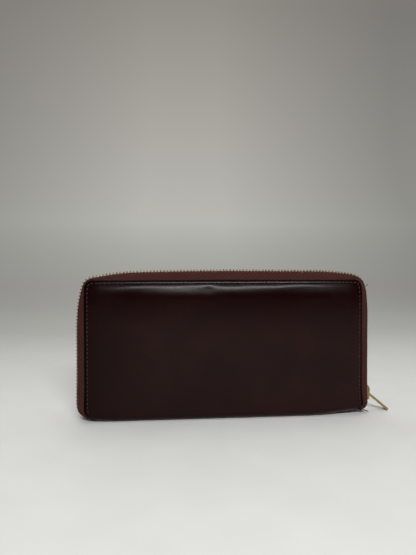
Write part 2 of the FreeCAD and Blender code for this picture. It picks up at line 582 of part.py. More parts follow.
save("coin_zip_stops", Part.makeCompound([coin_stop(-COIN_CHAIN_HALF_L - 2.1, -TOOTH_LEG, TOOTH_LEG, 2.0),
                                          coin_stop(COIN_CHAIN_HALF_L + 1.9, 1.0, TOOTH_LEG + PART_SHIFT, 2.0),
                                          coin_stop(COIN_CHAIN_HALF_L + 1.9, -(TOOTH_LEG + PART_SHIFT), -1.0, 2.0)]))
coin_put = local(lambda a, c, r: (COIN_SLIDER_X - a, c, COIN_CHAIN_Z + r))
save("coin_slider_body", slider_body(coin_put))
save("coin_slider_crown", crown(coin_put, PIVOT_A))
save("coin_pull_tab", pull(coin_put, PIVOT_A, COIN_PULL_LENGTH, -(90.0 - COIN_PULL_REST_DEG), 6.2))

# ---------------------------------------------------------------- side gussets
def gusset(sign):
    """Pleated end wall: one inward pleat on each side of the coin pocket, shallower towards the spine."""
    wires = []
    for z, fold in ((GUSSET_BOTTOM_Z, 83.5), (GUSSET_TOP_Z, 70.0)):
        path = [(89.0, -5.2), (fold + 0.4, -4.45), (fold + 0.05, -4.33), (fold - 0.1, -4.1), (fold + 0.05, -3.87), (fold + 0.4, -3.75),
                (85.7, -3.12), (86.0, -3.0), (86.1, -2.7)]
        path = path + [(x, -y) for x, y in reversed(path)]
        rows = ([], [])
        for i, (x, y) in enumerate(path):
            xa, ya = path[max(i - 1, 0)]
            xb, yb = path[min(i + 1, len(path) - 1)]
            d1 = math.hypot(x - xa, y - ya) or 1.0
            d2 = math.hypot(xb - x, yb - y) or 1.0
            t1 = ((x - xa) / d1, (y - ya) / d1) if i else ((xb - x) / d2, (yb - y) / d2)
            t2 = ((xb - x) / d2, (yb - y) / d2) if i < len(path) - 1 else t1
            n1, n2 = (-t1[1], t1[0]), (-t2[1], t2[0])
            m = (n1[0] + n2[0], n1[1] + n2[1])
            mm = math.hypot(*m) or 1.0
            m = (m[0] / mm, m[1] / mm)
            k = min(1.0 / max(m[0] * n1[0] + m[1] * n1[1], 0.35), 1.6)
            for row, sgn in zip(rows, (1, -1)):
                row.append(V(sign * (x + sgn * m[0] * k * GUSSET_T / 2), y + sgn * m[1] * k * GUSSET_T / 2, z))
        loop = rows[0] + rows[1][::-1]
        wires.append(Part.makePolygon(loop + [loop[0]]))
    solid = Part.makeLoft(wires, True, True)
    if solid.Volume < 0:
        solid.reverse()
    return solid


save("right_gusset", gusset(1))
save("left_gusset", gusset(-1))


# ---------------------------------------------------------------- stitching along three sides of each cover
def stitch_path():
    w, h, d = PANEL_HALF_W, PANEL_H, STITCH_INSET
    pts = []
    rb, rt = BOTTOM_R - d, TOP_R - d
    for k in range(8):
        a = math.radians(-20 * (1 - k / 8))
        pts.append((w - BOTTOM_R + rb * math.cos(a), BOTTOM_R + rb * math.sin(a)))
    pts.append((w - d, BOTTOM_R))
    pts.append((w - d, h - TOP_R))
    for k in range(1, 13):
        a = math.radians(90 * k / 12)
        pts.append((w - TOP_R + rt * math.cos(a), h - TOP_R + rt * math.sin(a)))
    return pts + [(-x, z) for x, z in reversed(pts)]


path = stitch_path()
cum = [0.0]
for a, b in zip(path, path[1:]):
    cum.append(cum[-1] + math.hypot(b[0] - a[0], b[1] - a[1]))


def on_path(s):
    for i in range(len(cum) - 1):
        if s <= cum[i + 1] or i == len(cum) - 2:
            t = (s - cum[i]) / max(cum[i + 1] - cum[i], 1e-9)
            return path[i][0] + t * (path[i + 1][0] - path[i][0]), path[i][1] + t * (path[i + 1][1] - path[i][1])


n_stitch = int(cum[-1] / STITCH_PITCH)
for side, name in ((-1, "front"), (1, "rear")):
    made = []
    for k in range(n_stitch):
        s = (k + 0.5) * cum[-1] / n_stitch
        (xa, za), (xb, zb) = on_path(s - STITCH_LENGTH / 2), on_path(s + STITCH_LENGTH / 2)
        a = V(xa, side * (face_depth(xa, za) + 0.02), za)
        b = V(xb, side * (face_depth(xb, zb) + 0.02), zb)
        made.append(Part.makeCylinder(STITCH_R, (b - a).Length, a, b - a))
    save(name + "_cover_stitching", Part.makeCompound(made))
print("stitches per cover", n_stitch, "teeth", len(rear_teeth), len(front_teeth), len(front_end_teeth), "chain", round(LENGTH[-1], 1))
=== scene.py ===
import math
import random

import bmesh
import bpy
import numpy as np
from mathutils import Matrix, Vector


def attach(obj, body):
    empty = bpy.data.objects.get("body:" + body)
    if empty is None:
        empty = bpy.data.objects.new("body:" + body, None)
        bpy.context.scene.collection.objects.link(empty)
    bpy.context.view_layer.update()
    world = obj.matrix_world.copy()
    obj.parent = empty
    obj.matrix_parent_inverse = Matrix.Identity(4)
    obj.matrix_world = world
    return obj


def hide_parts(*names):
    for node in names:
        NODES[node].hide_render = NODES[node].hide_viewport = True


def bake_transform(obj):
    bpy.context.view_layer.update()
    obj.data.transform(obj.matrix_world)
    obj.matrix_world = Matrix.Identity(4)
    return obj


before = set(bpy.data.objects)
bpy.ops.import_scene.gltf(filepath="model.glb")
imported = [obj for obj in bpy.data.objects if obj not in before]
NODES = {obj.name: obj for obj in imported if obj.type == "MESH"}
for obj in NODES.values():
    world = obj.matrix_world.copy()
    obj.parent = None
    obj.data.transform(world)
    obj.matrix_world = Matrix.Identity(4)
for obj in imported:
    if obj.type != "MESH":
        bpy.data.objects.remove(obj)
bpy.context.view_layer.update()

random.seed(7)
RNG = np.random.default_rng(7)

# sizes in millimetres, as in the frame
HW, TOP, RT, RB = 93.0, 92.8, 4.5, 8.0
DEPTH, SPINE_R = 11.5, 5.0
LEATHER_T = 1.4
SLIDER_Z, SPLIT_Z, PITCH = 13.4, 20.0, 2.25


def smooth(t):
    t = np.clip(t, 0.0, 1.0)
    return t * t * (3 - 2 * t)


def half_width(z, inset=0.0):
    """Half width of the cover outline at height z."""
    z = np.asarray(z, float)
    w = np.full_like(z, HW)
    t = np.clip((z - (TOP - RT)) / RT, 0, 1)
    w = np.where(z > TOP - RT, HW - RT + RT * np.sqrt(1 - t * t), w)
    b = np.clip((RB - z) / RB, 0, 1)
    w = np.where(z < RB, HW - RB + RB * np.sqrt(1 - b * b), w)
    return w - inset


def worn(x, z):
    """How far the worn lower corners of the leather lift off the table."""
    right = 3.0 * smooth((np.asarray(x) - 52.0) / 40.0) ** 1.4
    left = 0.9 * smooth((-np.asarray(x) - 70.0) / 22.0)
    return (right + left) * smooth((22.0 - np.asarray(z)) / 22.0)


def tucked(V):
    """The lower left corner is worn round: everything there sits further in, most at the table."""
    V = np.array(V, float)
    V[:, 0] += 2.8 * (np.clip(13.0 - V[:, 2], 0, 13) / 13.0) ** 2 * smooth((-V[:, 0] - 76.0) / 14.0)
    return V


def edge_distance(x, z):
    """Distance inwards from the cover's cut edge on its three sewn sides."""
    ax = np.abs(x)
    d = np.minimum(HW - ax, TOP - z)
    corner = (ax > HW - RT) & (z > TOP - RT)
    d = np.where(corner, RT - np.hypot(np.maximum(ax - (HW - RT), 0), np.maximum(z - (TOP - RT), 0)), d)
    low = (ax > HW - RB) & (z < RB)
    return np.where(low, RB - np.hypot(np.maximum(ax - (HW - RB), 0), np.maximum(RB - z, 0)), d)


def face_depth(x, z):
    x, z = np.asarray(x, float), np.asarray(z, float)
    belly = np.maximum(0, 1 - ((z - 48.5) / 43.5) ** 2) * np.maximum(0, 1 - (x / HW) ** 2)
    top = np.clip((z - (TOP - 12)) / 12, 0, 1) ** 2
    side = np.clip((np.abs(x) - (HW - 10)) / 10, 0, 1) ** 2 * np.clip((z - 6) / 12, 0, 1)
    return DEPTH + 0.5 * belly - 3.0 * top - 2.0 * side


def leather_depth(x, z, side):
    """Face of the outer leather with its soft waves, the pulled-in seam and the padded strip beside it."""
    x, z = np.asarray(x, float), np.asarray(z, float)
    ph = 0.0 if side < 0 else 2.1
    d = edge_distance(x, z)
    base = face_depth(x, z)
    waves = 0.13 * np.sin(x / 19.0 + ph + 0.5 * np.sin(z / 22.0)) * np.sin(z / 27.0 + 1.1 + ph)
    waves += 0.06 * np.sin(x / 7.3 + 2 * ph) * np.sin(z / 11.0 + ph)
    inside = smooth((d - 3.0) / 8.0)
    # the padded strip under the top seam swells and sinks along its length
    pad = (0.30 * np.sin(x / 14.0 + 0.6 + ph) + 0.16 * np.sin(x / 5.7 + 1.9 + ph) - 0.85 * np.exp(-((x + 12 + 30 * (side > 0)) / 4.0) ** 2))
    strip = np.exp(-((z - 86.0) / 3.4) ** 2)
    seam = -0.10 * np.exp(-((d - 1.9) / 0.42) ** 2) + 0.07 * np.exp(-((d - 4.2) / 1.5) ** 2)
    pucker = 0.05 * np.sin(2 * np.pi * (x + z) / 2.75) * np.exp(-((d - 2.2) / 1.0) ** 2)
    return base + waves * inside + 0.30 * pad * strip * smooth((d - 2) / 3) + seam * smooth((z - 3) / 6) + pucker * smooth((z - 6) / 6)


# ------------------------------------------------------------------ mesh helpers
def to_object(name, verts, faces, mats, index=None, uvs=None, flat=False, recalc=True):
    me = bpy.data.meshes.new(name)
    me.from_pydata((tucked(verts) * 0.001).tolist(), [], faces)
    for m in mats:
        me.materials.append(m)
    if index is not None:
        me.polygons.foreach_set("material_index", index)
    me.polygons.foreach_set("use_smooth", [not flat] * len(me.polygons))
    if uvs is not None:
        layer = me.uv_layers.new(name="UVMap")
        loops = np.empty(len(me.loops), np.int32)
        me.loops.foreach_get("vertex_index", loops)
        layer.data.foreach_set("uv", (np.asarray(uvs, float)[loops] * 0.001).ravel())
    me.update()
    if recalc:
        bm = bmesh.new(); bm.from_mesh(me)
        bmesh.ops.recalc_face_normals(bm, faces=bm.faces)
        bm.to_mesh(me); bm.free()
    ob = bpy.data.objects.new(name, me)
    bpy.context.scene.collection.objects.link(ob)
    return ob


def normals(P):
    dr, dc = np.gradient(P, axis=0), np.gradient(P, axis=1)
    n = np.cross(dr, dc)
    return n / np.maximum(np.linalg.norm(n, axis=2, keepdims=True), 1e-9)


def sheet(name, P, thick, mats, uv, sign=1, centred=False, outer_index=None, bulge=0.9, rim_index=2):
    """Closed sheet: outer grid P (rows, columns, 3), inner grid set back by thick, and a rounded rim."""
    nr, nc = P.shape[:2]
    N = normals(P) * sign
    t = np.asarray(thick, float)
    t = t[..., None] if t.ndim == 2 else t
    out, inn = (P + N * t / 2, P - N * t / 2) if centred else (P, P - N * t)
    idx = lambda r, c: r * nc + c
    verts = [out.reshape(-1, 3), inn.reshape(-1, 3)]
    uvs = [uv.reshape(-1, 2), uv.reshape(-1, 2)]
    faces, index = [], []
    for r in range(nr - 1):
        for c in range(nc - 1):
            a = (idx(r, c), idx(r, c + 1), idx(r + 1, c + 1), idx(r + 1, c))
            faces.append(a); index.append(0 if outer_index is None else int(outer_index[r, c]))
            faces.append(tuple(nr * nc + k for k in reversed(a))); index.append(1)
    ring = [(0, c) for c in range(nc)] + [(r, nc - 1) for r in range(1, nr)] + [(nr - 1, c) for c in range(nc - 2, -1, -1)] + [(r, 0) for r in range(nr - 2, 0, -1)]
    e = []
    for r, c in ring:
        v = np.zeros(3)
        if r == 0: v += _unit(out[0, c] - out[1, c])
        if r == nr - 1: v += _unit(out[-1, c] - out[-2, c])
        if c == 0: v += _unit(out[r, 0] - out[r, 1])
        if c == nc - 1: v += _unit(out[r, -1] - out[r, -2])
        e.append(_unit(v))
    e = np.array(e)
    o = np.array([out[r, c] for r, c in ring]); i = np.array([inn[r, c] for r, c in ring])
    ruv = np.array([uv[r, c] for r, c in ring])
    mid, h = (o + i) / 2, (o - i) / 2
    m = np.linalg.norm(h, axis=1, keepdims=True)
    base, n = 2 * nr * nc, len(ring)
    loops = [[idx(r, c) for r, c in ring]]
    for k, th in enumerate((45, 90, 135)):
        a = math.radians(th)
        verts.append(mid + h * math.cos(a) + e * m * bulge * math.sin(a)); uvs.append(ruv)
        loops.append([base + k * n + j for j in range(n)])
    loops.append([nr * nc + idx(r, c) for r, c in ring])
    for la, lb in zip(loops, loops[1:]):
        for j in range(n):
            q = (j + 1) % n
            faces.append((la[j], lb[j], lb[q], la[q])); index.append(rim_index)
    return to_object(name, np.concatenate(verts), faces, mats, index, np.concatenate(uvs))


def _unit(v):
    return v / max(np.linalg.norm(v), 1e-9)


def tube(points, radii, sides=8):
    """Verts, faces and uvs of a capped tube through points; frames are carried along the line."""
    P = np.asarray(points, float)
    T = np.gradient(P, axis=0)
    T /= np.linalg.norm(T, axis=1, keepdims=True)
    ref = np.array([0.13, 0.31, 0.94]) if abs(T[0][2]) < 0.8 else np.array([0.1, 0.95, 0.2])
    u = _unit(np.cross(ref, T[0]))
    V, F, U = [], [], []
    s = 0.0
    for k, p in enumerate(P):
        u = _unit(u - T[k] * (u @ T[k])); w = np.cross(T[k], u)
        if k: s += np.linalg.norm(P[k] - P[k - 1])
        for j in range(sides):
            a = 2 * math.pi * j / sides
            V.append(p + radii[k] * (math.cos(a) * u + math.sin(a) * w)); U.append((s, radii[k] * a))
        if k:
            b0, b1 = (k - 1) * sides, k * sides
            F += [(b0 + j, b0 + (j + 1) % sides, b1 + (j + 1) % sides, b1 + j) for j in range(sides)]
    F.append(tuple(reversed(range(sides)))); F.append(tuple(range((len(P) - 1) * sides, len(P) * sides)))
    return V, F, U


class Bag:
    """Collects many small solids into one mesh."""
    def __init__(self): self.V, self.F, self.U = [], [], []
    def add(self, V, F, U=None):
        b = len(self.V)
        self.V += list(V); self.F += [tuple(b + i for i in f) for f in F]
        self.U += list(U) if U is not None else [(v[0], v[2]) for v in V]
    def build(self, name, mats, flat=False):
        return to_object(name, self.V, self.F, mats, None, self.U, flat)


def place(ob, body, slot_name, *nodes):
    if body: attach(ob, body)
    if nodes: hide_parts(*nodes)
    return ob


# ------------------------------------------------------------------ materials
class Mat:
    def __init__(self, name):
        self.m = bpy.data.materials.new(name); self.m.use_nodes = True
        self.t = self.m.node_tree; self.n = self.t.nodes; self.n.clear()
        self.out = self.n.new("ShaderNodeOutputMaterial"); self.p = self.n.new("ShaderNodeBsdfPrincipled")
        self.t.links.new(self.p.outputs[0], self.out.inputs[0])
        self.tc = self.n.new("ShaderNodeTexCoord")
    def link(self, a, b): self.t.links.new(a, b)
    def coord(self, uv=False, scale=(1, 1, 1), rot=(0, 0, 0)):
        mp = self.n.new("ShaderNodeMapping"); mp.inputs["Scale"].default_value = scale; mp.inputs["Rotation"].default_value = rot
        self.link(self.tc.outputs["UV" if uv else "Object"], mp.inputs[0]); return mp.outputs[0]
    def noise(self, scale, detail=3, rough=0.5, vec=None, distortion=0.0):
        k = self.n.new("ShaderNodeTexNoise"); k.inputs["Scale"].default_value = scale; k.inputs["Detail"].default_value = detail
        k.inputs["Roughness"].default_value = rough; k.inputs["Distortion"].default_value = distortion
        self.link(vec or self.coord(), k.inputs["Vector"]); return k.outputs[0]
    def voronoi(self, scale, feature="F1", vec=None):
        k = self.n.new("ShaderNodeTexVoronoi"); k.feature = feature; k.inputs["Scale"].default_value = scale
        self.link(vec or self.coord(), k.inputs["Vector"]); return k.outputs[0]
    def wave(self, period_mm, axis="X", vec=None, profile="SIN", distortion=0.0):
        k = self.n.new("ShaderNodeTexWave"); k.bands_direction = axis; k.wave_profile = profile
        k.inputs["Scale"].default_value = 2 * math.pi / (20 * period_mm * 0.001); k.inputs["Distortion"].default_value = distortion
        self.link(vec or self.coord(uv=True), k.inputs["Vector"]); return k.outputs["Fac"]
    def ramp(self, fac, stops):
        k = self.n.new("ShaderNodeValToRGB"); el = k.color_ramp.elements
        while len(el) < len(stops): el.new(0.5)
        for e, (pos, col) in zip(el, stops):
            e.position = pos; e.color = (*col, 1) if len(col) == 3 else col
        self.link(fac, k.inputs[0]); return k.outputs[0]
    def math(self, op, a, b):
        k = self.n.new("ShaderNodeMath"); k.operation = op
        for s, v in zip(k.inputs, (a, b)):
            if isinstance(v, (int, float)): s.default_value = v
            else: self.link(v, s)
        return k.outputs[0]
    def mix(self, fac, a, b, blend="MIX"):
        k = self.n.new("ShaderNodeMix"); k.data_type = "RGBA"; k.blend_type = blend
        for s, v in ((k.inputs[0], fac), (k.inputs[6], a), (k.inputs[7], b)):
            if isinstance(v, (int, float)): s.default_value = v
            elif isinstance(v, tuple): s.default_value = (*v, 1)
            else: self.link(v, s)
        return k.outputs[2]
    def rng(self, v, lo, hi):
        k = self.n.new("ShaderNodeMapRange"); k.inputs["To Min"].default_value = lo; k.inputs["To Max"].default_value = hi
        self.link(v, k.inputs[0]); return k.outputs[0]
    def bump(self, height, dist_mm, strength=1.0, prev=None):
        k = self.n.new("ShaderNodeBump"); k.inputs["Distance"].default_value = dist_mm * 0.001; k.inputs["Strength"].default_value = strength
        self.link(height, k.inputs["Height"])
        if prev is not None: self.link(prev, k.inputs["Normal"])
        return k.outputs[0]
    def ao(self, dist_mm):
        k = self.n.new("ShaderNodeAmbientOcclusion"); k.inputs["Distance"].default_value = dist_mm * 0.001; k.samples = 6
        return k.outputs["AO"]
    def set(self, **kw):
        for key, v in kw.items():
            s = self.p.inputs[key.replace("_", " ")]
            if isinstance(v, (int, float)): s.default_value = v
            elif isinstance(v, tuple): s.default_value = (*v, 1)
            else: self.link(v, s)
        return self


def leather(name, dark, light, rough=(0.20, 0.36), coat=0.0, grain=1.0, spec=0.22):
    k = Mat(name)
    mott = k.noise(38, 5, 0.6, distortion=0.4)
    fine = k.noise(420, 3, 0.55)
    pores = k.voronoi(1500)
    cells = k.voronoi(900, "DISTANCE_TO_EDGE")
    col = k.ramp(mott, [(0.3, dark), (0.7, light)])
    col = k.mix(k.rng(fine, 0.0, 0.35), col, tuple(c * 0.55 for c in dark))
    r = k.math("ADD", k.rng(mott, rough[0], rough[1]), k.rng(fine, -0.03, 0.05))
    b = k.bump(pores, 0.018 * grain, 0.55)
    b = k.bump(k.ramp(cells, [(0.0, (0, 0, 0)), (0.12, (1, 1, 1))]), 0.012 * grain, 0.5, b)
    b = k.bump(k.noise(90, 3), 0.10 * grain, 0.35, b)
    level = spec
    if name == "oxblood_leather":
        # painted shade: the colour is darkened to nearly black towards the top and the left edge and left redder in the
        # middle
        sep = k.n.new("ShaderNodeSeparateXYZ"); k.link(k.tc.outputs["Object"], sep.inputs[0])

        def span(v, lo, hi):
            f = k.n.new("ShaderNodeMapRange"); f.interpolation_type = "SMOOTHSTEP"
            f.inputs["From Min"].default_value = lo; f.inputs["From Max"].default_value = hi
            k.link(v, f.inputs[0]); return f.outputs[0]

        big = k.noise(13, 2, 0.5, distortion=0.6)
        high = span(k.math("ADD", sep.outputs[2], k.math("MULTIPLY", big, 0.03)), 0.066, 0.100)
        left = span(k.math("ADD", sep.outputs[0], k.math("MULTIPLY", big, 0.05)), -0.020, -0.078)
        painted_shade_zone = k.math("MAXIMUM", high, left)
        # painted shade: the colour is mixed towards near-black in this zone, which also lowers the specular level below
        col = k.mix(k.math("MULTIPLY", painted_shade_zone, 0.78), col, (0.0052, 0.0007, 0.0007))
        mid = k.n.new("ShaderNodeMath"); mid.operation = "ABSOLUTE"; k.link(k.math("ADD", sep.outputs[0], 0.002), mid.inputs[0])
        dull = k.math("MULTIPLY", span(mid.outputs[0], 0.060, 0.088), span(sep.outputs[2], 0.070, 0.082))
        scuff = k.ramp(k.noise(260, 4, 0.7), [(0.60, (0, 0, 0)), (0.72, (1, 1, 1))])
        r = k.math("ADD", r, k.math("ADD", k.math("MULTIPLY", scuff, 0.08), k.math("MULTIPLY", dull, 0.16)))
        level = k.math("MULTIPLY", k.rng(painted_shade_zone, spec, spec * 0.82), k.rng(dull, 1.0, 0.45))
    k.set(Base_Color=col, Roughness=r, Normal=b, Coat_Weight=coat, Coat_Roughness=0.16, Specular_IOR_Level=level)
    return k.m


def woven(name, dark, light, rib=0.62, warp=0.46, sheen=0.25):
    k = Mat(name)
    a, b = k.wave(rib, "X"), k.wave(warp, "Y")
    diag = k.wave(1.5, "DIAGONAL")
    w = k.math("ADD", k.math("MULTIPLY", a, b), k.math("MULTIPLY", diag, 0.25))
    fuzz = k.noise(2600, 2)
    col = k.ramp(k.math("ADD", k.math("MULTIPLY", w, 0.75), k.math("MULTIPLY", fuzz, 0.3)), [(0.15, dark), (0.95, light)])
    col = k.mix(k.rng(k.noise(70, 3), 0.0, 0.5), col, dark)
    nb = k.bump(w, 0.14, 1.0); nb = k.bump(fuzz, 0.03, 0.5, nb)
    k.set(Base_Color=col, Roughness=0.78, Normal=nb, Specular_IOR_Level=0.12, Sheen_Weight=sheen, Sheen_Roughness=0.45, Sheen_Tint=tuple(min(1, c * 4) for c in light))
    return k.m


def brass(name, bright, dark, rough=(0.22, 0.42)):
    k = Mat(name)
    n = k.noise(520, 4, 0.6); big = k.noise(140, 3)
    col = k.mix(k.rng(big, 0.0, 0.55), bright, dark)
    col = k.mix(k.ramp(k.ao(1.0), [(0.35, (1, 1, 1)), (0.85, (0, 0, 0))]), col, tuple(c * 0.22 for c in dark))
    scratch = k.noise(900, 2, vec=k.coord(scale=(1, 1, 0.08)))
    b = k.bump(scratch, 0.006, 0.5); b = k.bump(n, 0.008, 0.4, b)
    k.set(Base_Color=col, Metallic=1.0, Roughness=k.rng(n, rough[0], rough[1]), Normal=b)
    return k.m


def thread(name, dark, light):
    k = Mat(name)
    tw = k.wave(0.34, "DIAGONAL", k.coord(uv=True, scale=(1, 0.7, 1)))
    col = k.ramp(tw, [(0.1, dark), (0.9, light)])
    k.set(Base_Color=col, Roughness=0.5, Normal=k.bump(tw, 0.05, 0.8), Sheen_Weight=0.05, Specular_IOR_Level=0.2)
    return k.m


def edge_paint():
    k = Mat("edge_paint")
    n = k.noise(260, 4)
    k.set(Base_Color=k.ramp(n, [(0.3, (0.0004, 0.0003, 0.0003)), (0.8, (0.0014, 0.0010, 0.0010))]), Roughness=k.rng(n, 0.5, 0.7), Normal=k.bump(k.noise(700, 2), 0.02, 0.5),
          Specular_IOR_Level=0.03)
    return k.m


def board_mat():
    k = Mat("fibre_board")
    n = k.noise(900, 4, vec=k.coord(scale=(1, 1, 0.3)))
    k.set(Base_Color=k.ramp(n, [(0.3, (0.16, 0.12, 0.08)), (0.7, (0.30, 0.24, 0.17))]), Roughness=0.85, Normal=k.bump(n, 0.03, 0.6))
    return k.m


M_LEATHER = leather("oxblood_leather", (0.0090, 0.0020, 0.0019), (0.0160, 0.0042, 0.0038), (0.15, 0.25), spec=0.11)
M_BACK = leather("leather_back", (0.035, 0.018, 0.014), (0.06, 0.032, 0.026), (0.7, 0.85), 0.0, 1.6)
M_CARD = leather("card_leather", (0.010, 0.0032, 0.0032), (0.020, 0.0068, 0.0062), (0.32, 0.5), 0.0, 1.3, 0.3)
M_EDGE = edge_paint()
M_TAPE = woven("zip_tape_weave", (0.013, 0.0028, 0.0025), (0.140, 0.043, 0.036), sheen=0.0)
M_LINING = woven("lining_twill", (0.014, 0.004, 0.004), (0.034, 0.0095, 0.0085), 0.8, 0.8, 0.2)
M_BRASS = brass("antique_brass", (0.47, 0.34, 0.16), (0.17, 0.115, 0.05))
M_TEETH = brass("brass_teeth", (0.29, 0.195, 0.100), (0.085, 0.052, 0.030), (0.3, 0.5))
M_THREAD = thread("burgundy_thread", (0.014, 0.0036, 0.0034), (0.062, 0.017, 0.015))
M_BOARD = board_mat()

# ------------------------------------------------------------------ outer leather: one wrap, front, spine and rear
edge_steps = np.concatenate([np.arange(0, 6.01, 0.32), np.arange(7.2, HW - 0.5, 1.55)])
COLS = np.concatenate([-(HW - edge_steps), (HW - edge_steps)[::-1]]) / HW
top_steps = np.concatenate([np.arange(0, 6.01, 0.32), np.arange(7.0, TOP - SPINE_R - 0.4, 1.5)])


def wrap_rows(offset, inset):
    """Heights of the panel stations, from the top edge down to the spine."""
    zs = [TOP - inset - s for s in top_steps if TOP - inset - s > SPINE_R + 0.3] + [SPINE_R]
    return zs


def wrap(name, offset, thick, inset, mats, depth_fn, outer_index=True, uvscale=1.0):
    zs = wrap_rows(offset, inset)
    rows = []
    r = SPINE_R - offset
    yc = DEPTH - SPINE_R
    ang = np.linspace(0, 90, 11)[1:]
    flat = np.linspace(-yc, yc, 12)[1:-1]
    for z in zs: rows.append(("f", z))
    for a in ang: rows.append(("fa", a))
    for y in flat: rows.append(("b", y))
    for a in ang[::-1]: rows.append(("ra", a))
    for z in zs[::-1]: rows.append(("r", z))
    P = np.zeros((len(rows), len(COLS), 3))
    girth = np.zeros(len(rows))
    for k, (kind, v) in enumerate(rows):
        if kind in "fr":
            z = v; zz = z + (inset if z > TOP - RT - inset else 0)
            x = COLS * (half_width(min(zz, TOP)) - inset)
            side = -1 if kind == "f" else 1
            y = side * (depth_fn(x, np.full_like(x, z), side) - offset)
            P[k] = np.stack([x, y, np.full_like(x, z)], 1)
        else:
            side = -1 if kind == "fa" else 1
            if kind == "b": y0, z = v, SPINE_R - r
            else:
                a = math.radians(v); y0, z = side * (yc + r * math.cos(a)), SPINE_R - r * math.sin(a)
            x = COLS * (half_width(z if offset == 0 else max(z - offset, 0)) - inset)
            P[k] = np.stack([x, np.full_like(x, y0), np.full_like(x, z)], 1)
    P[:, :, 2] += worn(P[:, :, 0], P[:, :, 2])
    mid = P.shape[1] // 2
    girth[1:] = np.cumsum(np.linalg.norm(np.diff(P[:, mid], axis=0), axis=1))
    uv = np.stack([np.broadcast_to(P[:, :, 0], P.shape[:2]), np.broadcast_to(girth[:, None], P.shape[:2])], 2)
    idx = None
    if outer_index:
        idx = np.zeros((P.shape[0] - 1, P.shape[1] - 1), int)
        for i in range(idx.shape[0]):
            for j in range(idx.shape[1]):
                c = P[i:i + 2, j:j + 2].reshape(-1, 3).mean(0)
                if rows[i][0] in "fr" and float(edge_distance(c[0], c[2])) < 0.95: idx[i, j] = 2
                elif rows[i][0] not in "fr" and j in (0, idx.shape[1] - 1): idx[i, j] = 2
    ob = sheet(name, P, thick, mats, uv, 1, False, idx)
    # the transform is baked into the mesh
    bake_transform(ob)
    return ob


w = wrap("outer_leather_wrap", 0.0, LEATHER_T, 0.0, [M_LEATHER, M_BACK, M_EDGE], leather_depth)
place(w, None, "cover_leather", "front_cover_leather", "rear_cover_leather", "spine_leather")
plain = lambda x, z, side: face_depth(x, z)
w = wrap("inner_lining_wrap", 2.22, 0.55, 1.2, [M_LINING, M_LINING, M_LINING], plain, False)
place(w, None, "lining", "front_lining", "rear_lining", "spine_lining")


# ------------------------------------------------------------------ zip path
BULGE = {-1: ((-84, 6.0), (-55, 5.6), (-24.7, 5.6), (-19.5, 5.3), (-13.7, 4.9), (-8.2, 4.1), (-2.7, 2.9), (0, 2.1), (3.5, 1.0), (7.07, 1.2), (11.2, 1.9),
              (16.7, 3.0), (22.2, 3.8), (27.8, 4.3), (33.3, 4.7), (45.6, 5.0), (65.6, 5.4), (95.6, 5.7), (110, 5.7)),
         1: ((-84, 6.0), (-15.5, 6.0), (-8.2, 5.4), (-2.7, 4.9), (0, 4.2), (3.5, 2.6), (7.07, 2.7), (8.8, 3.2), (14.4, 4.0), (20.0, 4.5),
             (25.6, 5.0), (45.6, 5.3), (95.6, 5.7), (110, 5.7))}


def bulge_at(hand, q):
    t = np.array(BULGE[hand])
    return float(np.mean([np.interp(q + k, t[:, 0], t[:, 1]) for k in range(-3, 4)]))


def edge_path():
    """Cover edge from the lower right, up, across and down, with the chain's distance outside it."""
    low, up = [], []
    for i in range(16):
        t = i / 16; a = math.radians(-36 * (1 - t))
        low.append((HW - RB + RB * math.cos(a), RB + RB * math.sin(a), math.cos(a), math.sin(a), 3.0 + 3.0 * float(smooth(t))))
    corner = TOP - RT
    for z in np.arange(RB, corner, 1.0):
        up.append((HW, z, 1.0, 0.0, z - corner))
    for i in range(18):
        a = math.radians(90 * i / 18)
        up.append((HW - RT + RT * math.cos(a), corner + RT * math.sin(a), math.cos(a), math.sin(a), RT * a))
    half = HW - RT
    for i in range(81):
        x = half * (1 - i / 80)
        up.append((x, TOP, 0.0, 1.0, RT * math.pi / 2 + half - x))
    halves = []
    for hand in (1, -1):
        halves.append([(hand * x, z, hand * nx, nz, b) for x, z, nx, nz, b in low]
                      + [(hand * x, z, hand * nx, nz, bulge_at(hand, q)) for x, z, nx, nz, q in up])
    return halves[0] + halves[1][:-1][::-1]


EDGE = np.array(edge_path())
CHAIN = EDGE[:, :2] + EDGE[:, 2:4] * EDGE[:, 4:5]
LEN = np.concatenate([[0], np.cumsum(np.linalg.norm(np.diff(CHAIN, axis=0), axis=1))])


def chain_point(s):
    return np.array([np.interp(s, LEN, CHAIN[:, 0]), np.interp(s, LEN, CHAIN[:, 1])])


def chain_at(s):
    p, a, b = chain_point(s), chain_point(max(s - 1.2, 0)), chain_point(min(s + 1.2, LEN[-1]))
    t = (b - a) / np.linalg.norm(b - a)
    return p, t, np.array([t[1], -t[0]])


def parted(x, z):
    return 1.3 * float(smooth((SLIDER_Z + 3.6 - z) / 6.0)) if x > 0 else 0.0


def tape_profile(s):
    x, z, nx, nz, b = s
    mid = LEATHER_T + 0.4
    pts = [(u, float(face_depth(x + u * nx, z + u * nz)) - mid) for u in (-3.4, -2.4, -1.2, 0.0)]
    y0 = pts[-1][1]; slope = (pts[-2][1] - y0) / 1.2
    flat = min(4.4, y0 - 1.2)
    k0, k3 = 0.55 * b, 0.6 * (y0 - flat); d = math.hypot(1, slope)
    p = np.array([(0, y0), (k0 / d, y0 - k0 * slope / d), (b, flat + k3), (b, flat)])
    for i in range(1, 14):
        t = i / 14
        q = (1 - t) ** 3 * p[0] + 3 * (1 - t) ** 2 * t * p[1] + 3 * (1 - t) * t * t * p[2] + t ** 3 * p[3]
        pts.append((q[0], q[1]))
    e = 1.3 + parted(x + b * nx, z + b * nz)
    for t in np.linspace(0, 1, 7): pts.append((b, flat + t * (e - flat)))
    return np.array(pts)


